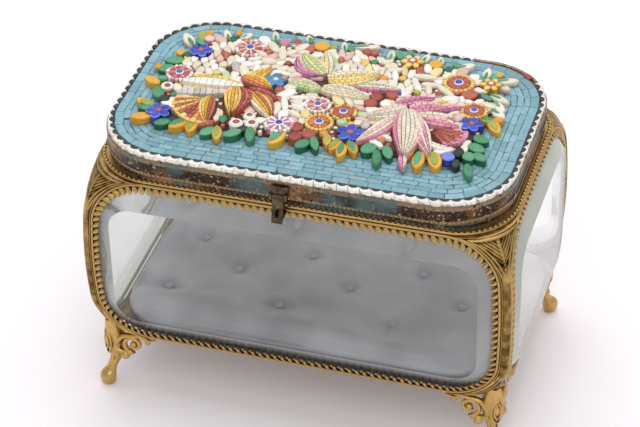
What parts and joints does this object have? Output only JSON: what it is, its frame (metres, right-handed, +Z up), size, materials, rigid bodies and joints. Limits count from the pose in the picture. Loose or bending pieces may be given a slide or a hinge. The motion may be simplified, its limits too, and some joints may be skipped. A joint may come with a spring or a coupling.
{
  "type": "micro-mosaic jewelry box",
  "caption": "Small casket with bevelled glass walls in gilt brass frames, cast scroll feet, a silk pad and a hinged lid with a raised floral glass mosaic.",
  "frame": {"origin": "on the table, at the middle of the box's outline", "axes": "+X along the long front to the right, +Y towards the hinge at the back, +Z up"},
  "size_m": [0.15, 0.0949, 0.1074],
  "materials": {
    "gilt_brass": "gilt stamped brass with brown toning in the hollows",
    "tarnished_brass": "dark tarnished brass with worn gold-brown patches and verdigris specks",
    "clear_glass": "thick clear glass, polished, with wide bevels",
    "grey_silk": "blue-grey ribbed silk with a moire sheen",
    "sky_tesserae": "opaque sky-blue glass tesserae in grey-brown grout",
    "cream_tesserae": "opaque cream glass tesserae",
    "leaf_tesserae": "opaque green glass tesserae with yellow sides",
    "blue_tesserae": "opaque deep blue glass tesserae",
    "pink_tesserae": "opaque pink and white glass tesserae",
    "rust_tesserae": "opaque rust and yellow glass tesserae",
    "orange_tesserae": "opaque orange, yellow and cream glass tesserae",
    "straw_tesserae": "opaque straw, green and pink glass tesserae",
    "rose_tesserae": "opaque pink, white and rust glass tesserae"
  },
  "bodies": {
    "casket": {"base_plate": "gilt_brass", "silk_pad": "grey_silk", "top_rim": "tarnished_brass", "hinge_lower": "tarnished_brass", "clasp_catch": "gilt_brass", "frame_front": "gilt_brass", "frame_back": "gilt_brass", "frame_left": "gilt_brass", "frame_right": "gilt_brass", "pane_front": "clear_glass", "pane_back": "clear_glass", "pane_left": "clear_glass", "pane_right": "clear_glass", "corner_mount_front_right": "gilt_brass", "corner_mount_front_left": "gilt_brass", "corner_mount_back_right": "gilt_brass", "corner_mount_back_left": "gilt_brass", "foot_front_right": "gilt_brass", "foot_front_left": "gilt_brass", "foot_back_right": "gilt_brass", "foot_back_left": "gilt_brass"},
    "lid": {"lid_tray": "tarnished_brass", "mosaic_border": "cream_tesserae", "mosaic_field": "sky_tesserae", "leaf_ground": "leaf_tesserae", "petal_ground": "cream_tesserae", "hinge_upper": "tarnished_brass", "clasp_mount": "tarnished_brass", "flower_blue_left": "blue_tesserae", "flower_blue_back": "blue_tesserae", "flower_blue_front": "blue_tesserae", "flower_blue_right": "blue_tesserae", "flower_blue_middle": "blue_tesserae", "daisy_left": "pink_tesserae", "daisy_back": "pink_tesserae", "daisy_front": "pink_tesserae", "daisy_middle": "pink_tesserae", "daisy_rust_middle": "rust_tesserae", "daisy_rust_front": "rust_tesserae", "daisy_rust_right": "rust_tesserae", "daisy_rust_back": "rust_tesserae", "flower_white_left": "cream_tesserae", "bird_left": "orange_tesserae", "bird_back": "straw_tesserae", "bird_right": "rose_tesserae"},
    "clasp": {"clasp_tab": "tarnished_brass"}
  },
  "joints": [
    {"name": "lid_hinge", "type": "hinge", "parent": "casket", "child": "lid", "pos_m": [0, 0.0455, 0.0949], "axis": [-1, 0, 0], "range_deg": [0, 100]},
    {"name": "clasp_pivot", "type": "hinge", "parent": "lid", "child": "clasp", "pos_m": [-0.0032, -0.0445, 0.0972], "axis": [-1, 0, 0], "range_deg": [0, 110]}
  ]
}
